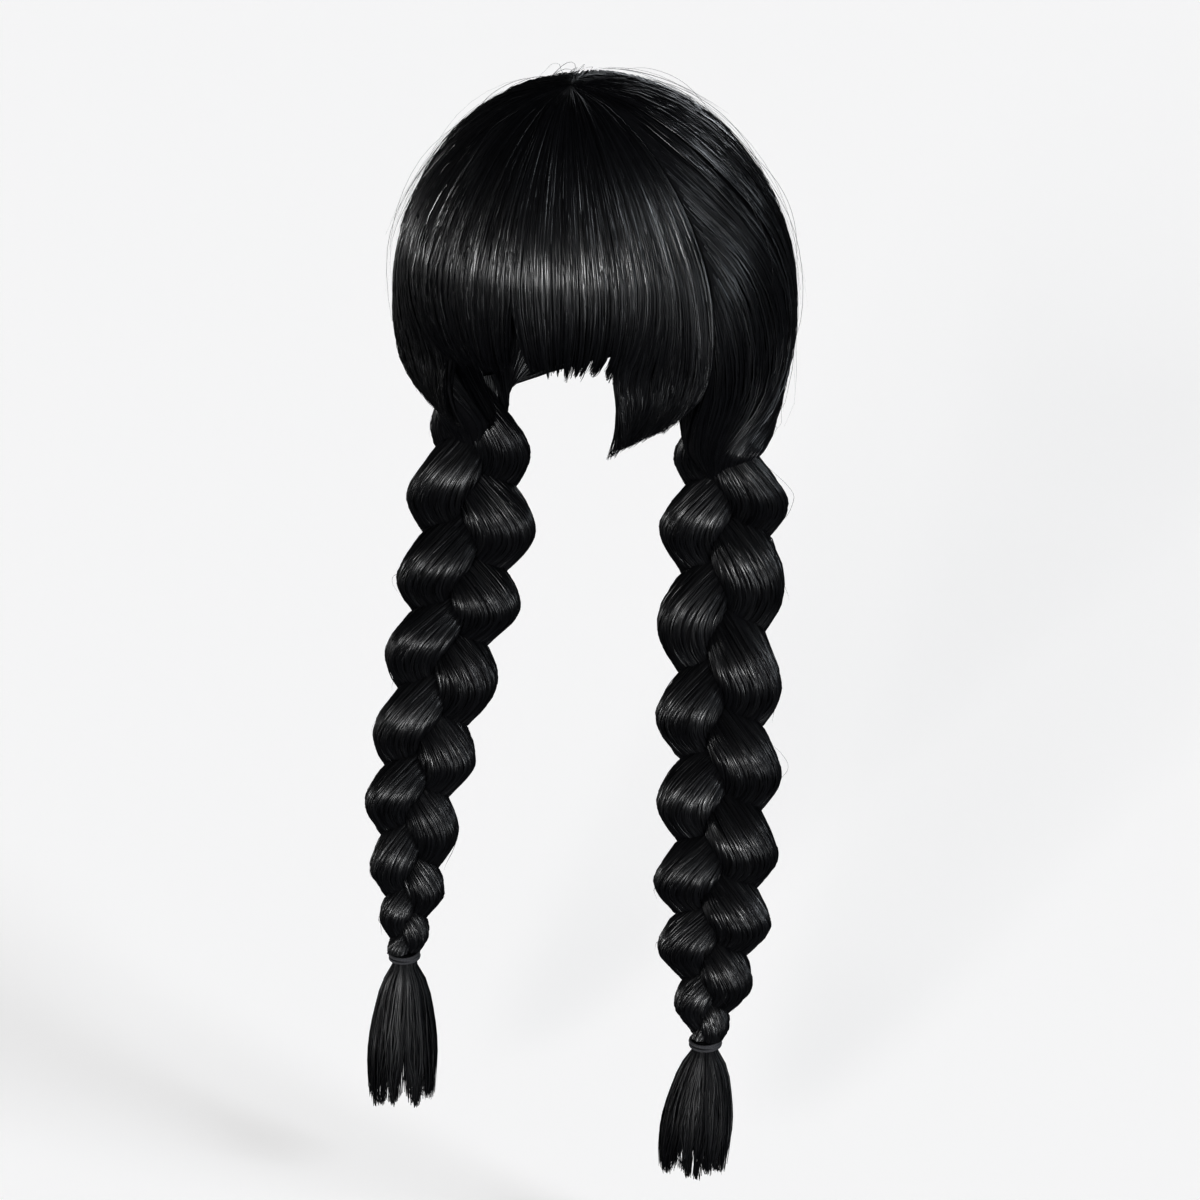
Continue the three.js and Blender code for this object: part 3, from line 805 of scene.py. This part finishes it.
def lock_layer(rng, count, steps, width, sunk, side):
    """Strands from the whorl to the lock's tip, where they end unevenly and fray."""
    own = ways(count, steps)
    start = rng.random((count, 1)) ** 2 * LATEST_START
    place = spread(rng, count)
    _, shorter = clump(rng, place, LOCK["tufts"])
    end = 1 - LOCK_END["tuft"] * shorter - LOCK_END["own"] * rng.random((count, 1)) ** 3
    along = mix(start, end, own)
    middle, raised = clump(rng, place, LOCK["clumps"])
    across = mix(place[:, None], middle, LOCK["clumping"] * ease(along, 0.1, 0.5))
    across = mix(-LOCK["overlap"], 1 + LOCK["overlap"], across) + wander(rng, along, 0.008, 1.3)
    points, outward = lock_route(across, along)
    points = eased_path(points, 4)
    fray = LOCK_END["fray"] * (shorter - 0.3 + rng.normal(0, 0.2, (count, 1)))
    points[..., 0] += fray * ease(along, 0.75, 1)
    return front_layer(rng, LOCK_LAY, points, outward, own, along, raised, width, sunk, side)


def half_round(form):
    """Turns round a closed section, and how far across it each one lies."""
    turn = np.arange(2 * form["columns"]) * np.pi / form["columns"]
    return turn, mix(form["margin"], 1 - form["margin"], (1 - np.cos(turn)) / 2)


def lock_rings(side):
    """Closed sections of a lock's mass: out along its face, and back along its inside."""
    form = LOCK_SECTION
    turn, across = half_round(form)
    along = np.linspace(*LOCK_STRETCH, form["rows"]) * np.ones((len(turn), 1))
    points, outward = lock_route(across[:, None] * np.ones_like(along), along)
    points = eased_path(points, 4)
    deep = form["deep"] * np.maximum(np.sin(turn), 0)[:, None] * np.sin(np.pi * along) ** 0.5
    points = points - outward * (form["inset"] + deep)[..., None]
    return (clear_of_cap(points) * [side, 1, 1]).swapaxes(0, 1)


for word, side in SIDES.items():
    rng = np.random.default_rng(20 + side)
    outer = lock_layer(rng, count=560, steps=20, width=0.85, sunk=0, side=side)
    inner = lock_layer(rng, count=160, steps=14, width=1.1, sunk=9, side=side)
    hair_object(f"side_lock_{word}_strands", [outer, inner], seed=2)
    loft_object(f"side_lock_{word}", lock_rings(side))

# %% [markdown]
# ## The crown
#
# The hair behind the fringe is swept from the whorl and from a parting down the back of the head, bags a
# little over the ear, and is gathered into the top of each braid, where its ends are tucked away.

# %% Crown strands
CROWN = {"clumps": 60, "clumping": 0.3, "latest_start": 0.45, "tip": 0.7}
SWEEP = {"lead": 0.3, "share": 0.24, "start": 0.2, "end": 0.85}
BESIDE_LOCK = {"rise": 0.1, "sunk": 1.4, "lift": 0.6, "gloss": 0.7, "below": (0.6, 0.75)}
EDGE = {"starts": (0.45, 0.62), "clumps": 9, "deepest": 0.92, "lift": 0.5, "step": 0.05}
CROWN_SECTION = {"columns": 24, "rows": 56, "margin": 0.01, "inset": 1.5, "overlap": 1.5, "overlap_to": 8}


def crown_layer(rng, count, steps, width, buried, side):
    """Strands over the crown's face, or with buried = 1 its inside. They lie low beside the lock."""
    own = ways(count, steps)
    start = rng.random((count, 1)) ** 2.5 * CROWN["latest_start"]
    along = mix(start, TUCK["end"], own)
    place = spread(rng, count)
    middle, raised = clump(rng, place, CROWN["clumps"])
    across = mix(-SWEEP["lead"], 1, mix(place[:, None], middle, CROWN["clumping"]))
    across = across + SWEEP["share"] * (1 - across) * ease(along, SWEEP["start"], SWEEP["end"])
    clear = across > 0
    out = np.maximum(ease(across, 0, BESIDE_LOCK["rise"]), ease(along, *BESIDE_LOCK["below"]))
    across = np.clip(across, 0, 1)
    points, inward, facing = crown_route(across, along)
    points = eased_path(points, 3)
    sideways = np.cross(unit(np.gradient(points, axis=1)), facing)
    drift = wander(rng, along, 1.1, 1.1) * ease(along, 0.02, 0.3)
    inside = crown_depth(along, 2 * np.sqrt(across * (1 - across)))
    depth = buried * (2 * CROWN_SECTION["inset"] + inside)
    facing = mix(facing, inward, buried)
    lift = layered_lift(rng, own, 3.0, raised) * mix(1, 0.05, ease(along, 0.75, 1))
    lift = lift * mix(BESIDE_LOCK["lift"], 1, out) - BESIDE_LOCK["sunk"] * (1 - out)
    points = points + sideways * drift[..., None] + inward * depth[..., None] + facing * lift[..., None]
    points = clear_of_cap(points)
    points[..., 0] = np.maximum(points[..., 0], -PARTING["crossed"])
    made = laid(rng, points, facing, own, width, side, CROWN["tip"])
    gloss = clump_gloss(raised, along, dull_to=0.25) * mix(BESIDE_LOCK["gloss"], 1, out)
    return made, clear[:, 1:] & clear[:, :-1], gloss


def crown_edge_layer(rng, count, steps, width, side):
    """Strands down the crown's front edge, from its face to its inside, where it shows below the lock."""
    own = ways(count, steps)
    along = mix(rng.uniform(*EDGE["starts"], (count, 1)), TUCK["end"], own)
    place = spread(rng, count)
    middle, raised = clump(rng, place, EDGE["clumps"])
    deep = mix(place[:, None], middle, CROWN["clumping"]) + wander(rng, along, 0.02, 1.1)
    deep = EDGE["deepest"] * np.clip(deep, 0, 1)
    across = (1 - np.sqrt(1 - deep ** (2 / edge_power(along)))) / 2
    points, inward, facing = crown_route(across, along)
    rearward = unit(crown_route(across + EDGE["step"], along)[0] - points)
    facing = unit(mix(-rearward, facing, ease(along, ROOT_BLEND, 1)[..., None]))
    depth = crown_depth(along, 1) * deep
    lift = EDGE["lift"] + layered_lift(rng, own, 2.0, raised) * mix(1, 0.2, ease(along, 0.8, 1))
    points = eased_path(points + inward * depth[..., None], 3) + facing * lift[..., None]
    made = laid(rng, clear_of_cap(points), facing, own, width, side, CROWN["tip"])
    return all_shown(made, clump_gloss(raised))


def crown_rings(side):
    """Closed sections of the crown's mass: out along its face, and back along its inside."""
    form = CROWN_SECTION
    turn, across = half_round(form)
    along = np.linspace(0, TUCK["end"], form["rows"]) * np.ones((len(turn), 1))
    points, inward, _ = crown_route(across[:, None], along)
    points = eased_path(points, 6)
    depth = form["inset"] + crown_depth(along, np.maximum(np.sin(turn), 0)[:, None])
    points = clear_of_cap(points + inward * depth[..., None])
    points[..., 0] -= form["overlap"] * (1 - ease(points[..., 0], 0, form["overlap_to"]))
    return (points * [side, 1, 1]).swapaxes(0, 1)


for word, side in SIDES.items():
    rng = np.random.default_rng(30 + side)
    outer = crown_layer(rng, count=1500, steps=19, width=1.1, buried=0, side=side)
    inner = crown_layer(rng, count=320, steps=14, width=1.5, buried=1, side=side)
    along = stretches(rng, count=100, steps=14, longest=0.6)
    points, _, facing = crown_route(rng.random((len(along), 1)), along)
    strays = stray_layer(rng, points * [side, 1, 1], facing * [side, 1, 1], height=9)
    edge = crown_edge_layer(rng, count=120, steps=14, width=1.1, side=side)
    hair_object(f"crown_{word}_strands", [outer, inner, edge, strays], seed=3)
    loft_object(f"crown_{word}", crown_rings(side))

# %% [markdown]
# ## The braids
#
# In a plait of three each strand swings from side to side and passes in front of its neighbours in turn:
# seen from above it draws a figure of eight. The strands press into each other, and each is fullest where
# it swells out in front and slimmest where it slips behind. It also rolls a little as it swings, which
# gives its ribbons their slant, and ribbons are left out where another strand covers them.

# %% Braid routes
ROUTE_COLUMNS = "drop out back half_width lobes"
BRAIDS = {
    "left": {
        "side": 1,
        "facing": 12,
        "tassel_length": 87,
        "route": table(
            ROUTE_COLUMNS,
            (172, 83, 8, 11, 0),
            (197.4, 83, 8, 24, 0.45),
            (230, 85, 10, 35, 1.07),
            (280, 86.5, 3, 35.5, 2),
            (338, 92, -13, 35.5, 3),
            (388, 98.5, -26, 35, 4),
            (436, 103.5, -40, 34.5, 5),
            (480, 104.5, -48, 33, 6),
            (521, 105, -53.5, 23, 7),
            (554, 105, -59, 9, 8),
        ),
    },
    "right": {
        "side": -1,
        "facing": 28,
        "tassel_length": 100,
        "route": table(
            ROUTE_COLUMNS,
            (172, 83, 8, 11, -0.35),
            (197.4, 83, 8, 24, 0.1),
            (247, 85.5, 8, 37.5, 1),
            (300, 88, -2, 38.5, 2),
            (346, 93.5, -15, 35.5, 3),
            (397, 100, -28, 32.5, 4),
            (441, 104, -41, 29, 5),
            (486, 104, -48, 23, 6),
            (519, 104.5, -53, 15, 7),
            (539, 105, -57, 9.5, 7.8),
        ),
    },
}
PLAIT = {"strands": 3, "swing": 0.49, "depth": 0.23, "wide": 0.54, "thick": 0.45, "slimmer": 0.18}
PLAIT_TURN = {"late": math.radians(28), "fullest": math.radians(80), "roll": math.radians(34)}


def plait_phase(lobes, index):
    return np.pi / 2 + 2 * np.pi * (lobes + index) / PLAIT["strands"]


def plait_place(lobes, index):
    """The middle of one strand in the braid's section, in shares of its half width, and how full it is."""
    phase = plait_phase(lobes, index)
    forward = np.sin(2 * phase - PLAIT_TURN["late"])
    full = 1 - PLAIT["slimmer"] * np.sin(phase - PLAIT_TURN["fullest"]) ** 2
    return np.stack([PLAIT["swing"] * np.sin(phase), PLAIT["depth"] * forward], -1), full[..., None]


def lobes_at(braid, own):
    """How many lobes lie above a place from 0 to 1 along a braid."""
    return mix(braid["route"][0]["lobes"], braid["route"][-1]["lobes"], own)


def plait_surface(braid, index, lobes, angle):
    """Points on a strand's surface, the way that they face, and how far clear of the others they are."""
    oval = np.array([PLAIT["wide"], PLAIT["thick"]])
    ray = np.stack([np.cos(angle), np.sin(angle)], -1)
    middle, full = plait_place(lobes, index)
    flat = middle + ray * oval * full
    gaps = []
    for step in (1, 2):
        other, other_full = plait_place(lobes, index + step)
        gaps.append(np.linalg.norm((flat - other) / (oval * other_full), axis=-1) - 1)
    face = math.radians(braid["side"] * braid["facing"])
    section = np.array([[math.cos(face), math.sin(face), 0], [math.sin(face), -math.cos(face), 0]])
    out, back, drop, half = [
        read(braid["route"], "lobes", name, lobes) for name in ("out", "back", "drop", "half_width")
    ]
    points = np.stack([out, back, -drop], -1) + flat @ section * half[..., None]
    mirror = [braid["side"], 1, 1]
    return points * mirror, unit(ray / oval) @ section * mirror, np.minimum(*gaps)


def braid_rings(braid, index, steps, sides):
    """Closed sections of a braid strand's mass."""
    lobes = lobes_at(braid, np.linspace(0, 1, steps))[:, None] * np.ones(sides)
    angle = np.arange(sides) * 2 * np.pi / sides * np.ones((steps, 1))
    return plait_surface(braid, index, lobes, angle)[0]


print("lobes:", *[f"{word} {braid['route'][-1]['lobes']}" for word, braid in BRAIDS.items()])

# %% Braid strands
BRAID = {"clumps": 34, "clumping": 0.3, "base": 0.3, "ripple": 0.6, "waves": 12}
SLIP = {"hidden": -0.06, "clear": 0.16, "gloss": 0.3}


def braid_layer(rng, braid, index, count, steps, width, lift):
    """Strands round one strand of a plait. They lie flat and dull where it slips behind the others."""
    own = ways(count, steps)
    lobes = lobes_at(braid, own)
    place = spread(rng, count)
    middle, raised = clump(rng, place, BRAID["clumps"])
    roll = PLAIT_TURN["roll"] * np.sin(plait_phase(lobes, index))
    angle = mix(place[:, None], middle, BRAID["clumping"]) * 2 * np.pi - roll + wander(rng, own, 0.05, 5)
    points, outward, gap = plait_surface(braid, index, lobes, angle)
    height = (0.5 * rng.random((count, 1)) + 0.5 * raised) * lift
    height = height + wander(rng, own, BRAID["ripple"] * rng.random((count, 1)), BRAID["waves"])
    clear = ease(gap, 0, SLIP["clear"])
    points = points + outward * ((BRAID["base"] + height) * clear)[..., None]
    widths = width * rng.uniform(*WIDTH_RANGE, (count, 1)) * np.ones_like(own)
    made = ribbons(points, outward, widths, rng.normal(0, LEAN, count))
    free = gap > SLIP["hidden"]
    return made, free[:, 1:] | free[:, :-1], clump_gloss(raised) * mix(SLIP["gloss"], 1, clear)


for word, braid in BRAIDS.items():
    for index in range(PLAIT["strands"]):
        rng = np.random.default_rng(40 + 10 * index + braid["side"])
        layer = braid_layer(rng, braid, index, count=210, steps=101, width=1.15, lift=1.3)
        own = stretches(rng, count=70, steps=12, longest=0.12)
        angle = rng.random((len(own), 1)) * 2 * np.pi * np.ones_like(own)
        points, outward, gap = plait_surface(braid, index, lobes_at(braid, own), angle)
        free = (gap > 0).all(1)
        strays = stray_layer(rng, points[free], outward[free], height=6)
        node = f"braid_{word}_strand_{index + 1}"
        hair_object(node + "_strands", [layer, strays], seed=4 + index, finish=BRAID_HAIR)
        loft_object(node, braid_rings(braid, index, steps=130, sides=20))

# %% [markdown]
# ## Tassels
#
# Below its elastic each braid is left loose. The strands spread into a flattened brush and end raggedly.

# %% Tassel strands
TIE = {"height": 5, "gap": 0.4}
TASSEL_FORM = table(
    "fall half_width half_depth",
    (0, 7.6, 7.6),
    (0.08, 7.6, 7.6),
    (0.2, 14, 10),
    (0.38, 19, 12),
    (0.6, 22.5, 13.5),
    (0.8, 23.5, 13),
    (1, 23, 11),
)
TASSEL_LEAN = {"out": -2.5, "back": -13}
TASSEL = {"tufts": 13, "shorter": 0.07, "pointed": 0.05, "uneven": 0.02, "lean": 0.4, "tip": 0.45}
TUFT = {"pull": (0.3, 0.9), "radius": (0.7, 1)}


def tie_drop(braid):
    return braid["route"][-1]["drop"] + TIE["gap"] + TIE["height"] / 2


def tassel_layer(rng, braid, count, steps, width):
    """Loose strands that fall from an elastic, and gather into tufts on the way."""
    own = ways(count, steps)
    tufts = TASSEL["tufts"]
    spin = spread(rng, count) * 2 * np.pi
    middles = (np.arange(tufts) + rng.random(tufts)) / tufts * 2 * np.pi
    tuft = np.abs(spin[:, None] - middles).argmin(1)
    from_tuft = np.abs(spin - middles[tuft]) * tufts / np.pi
    shorter = rng.uniform(0, TASSEL["shorter"], tufts)[tuft] + TASSEL["pointed"] * from_tuft
    length = 1 - shorter - np.abs(rng.normal(0, TASSEL["uneven"], count))
    fall = own * length[:, None]
    pull = rng.uniform(*TUFT["pull"], (count, 1)) * ease(fall, 0.55, 1)
    spin = mix(spin[:, None], middles[tuft][:, None], pull) + wander(rng, fall, 0.05, 1.2)
    own_radius = rng.random((count, 1)) ** 0.35
    radius = mix(own_radius, rng.uniform(*TUFT["radius"], tufts)[tuft][:, None], pull)
    face = math.radians(braid["facing"])
    broad = np.array([math.cos(face), math.sin(face), 0])
    deep = np.array([-math.sin(face), math.cos(face), 0])
    last = braid["route"][-1]
    lean = ease(fall, 0, 1)
    top = TIE["height"] / 2 - tie_drop(braid)
    centre = np.stack([
        braid["side"] * (last["out"] + TASSEL_LEAN["out"] * lean),
        last["back"] + TASSEL_LEAN["back"] * lean,
        top - (braid["tassel_length"] + TIE["height"] / 2) * fall,
    ], -1)
    wide = read(TASSEL_FORM, "fall", "half_width", fall) * radius * np.cos(spin)
    thick = read(TASSEL_FORM, "fall", "half_depth", fall) * radius * np.sin(spin)
    points = centre + wide[..., None] * broad + thick[..., None] * deep
    outward = np.cos(spin)[..., None] * broad + np.sin(spin)[..., None] * deep
    widths = tapered(rng, own, width, TASSEL["tip"])
    made = ribbons(points, outward, widths, rng.normal(0, TASSEL["lean"], count))
    return all_shown(made, clump_gloss(rng.random(tufts)[tuft][:, None]))


for word, braid in BRAIDS.items():
    rng = np.random.default_rng(70 + braid["side"])
    layer = tassel_layer(rng, braid, count=900, steps=11, width=0.85)
    piece = hair_object(f"tassel_{word}_strands", [layer], seed=8, finish=TASSEL_HAIR)
    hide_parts(f"tassel_{word}")

# %% [markdown]
# ## Elastics and cap
#
# A thin elastic is wound three times round each braid, every turn a little askew. The cap is a net,
# smoother than its CAD piece, and shows only from below and through the notch.

# %% Elastics
TIE_TURNS = table(
    "rise tilt radius",
    (1.5, 3, 9.2),
    (0.0, -4, 9.4),
    (-1.5, 2, 9.2),
)
TIE_THREAD = {"radius": 0.9, "along": 72, "around": 14}


def tie_object(word, braid):
    last = braid["route"][-1]
    turns = []
    for turn in TIE_TURNS:
        tilt = math.radians(turn["tilt"])
        place = np.array([braid["side"] * last["out"], last["back"], turn["rise"] - tie_drop(braid)])
        bpy.ops.mesh.primitive_torus_add(
            location=place * MM,
            rotation=(tilt, -tilt / 2, 0),
            major_radius=turn["radius"] * MM,
            minor_radius=TIE_THREAD["radius"] * MM,
            major_segments=TIE_THREAD["along"],
            minor_segments=TIE_THREAD["around"],
        )
        turns.append(bpy.context.object)
    select_only(*turns)
    bpy.ops.object.join()
    bpy.ops.object.transform_apply(location=True, rotation=True, scale=True)
    piece = bpy.context.object
    piece.name = f"elastic_{word}"
    stand_in(piece, f"tie_{word}", ELASTIC)


for word, braid in BRAIDS.items():
    tie_object(word, braid)

# %% Cap
mass_object("cap", inset=0, finish=NET)
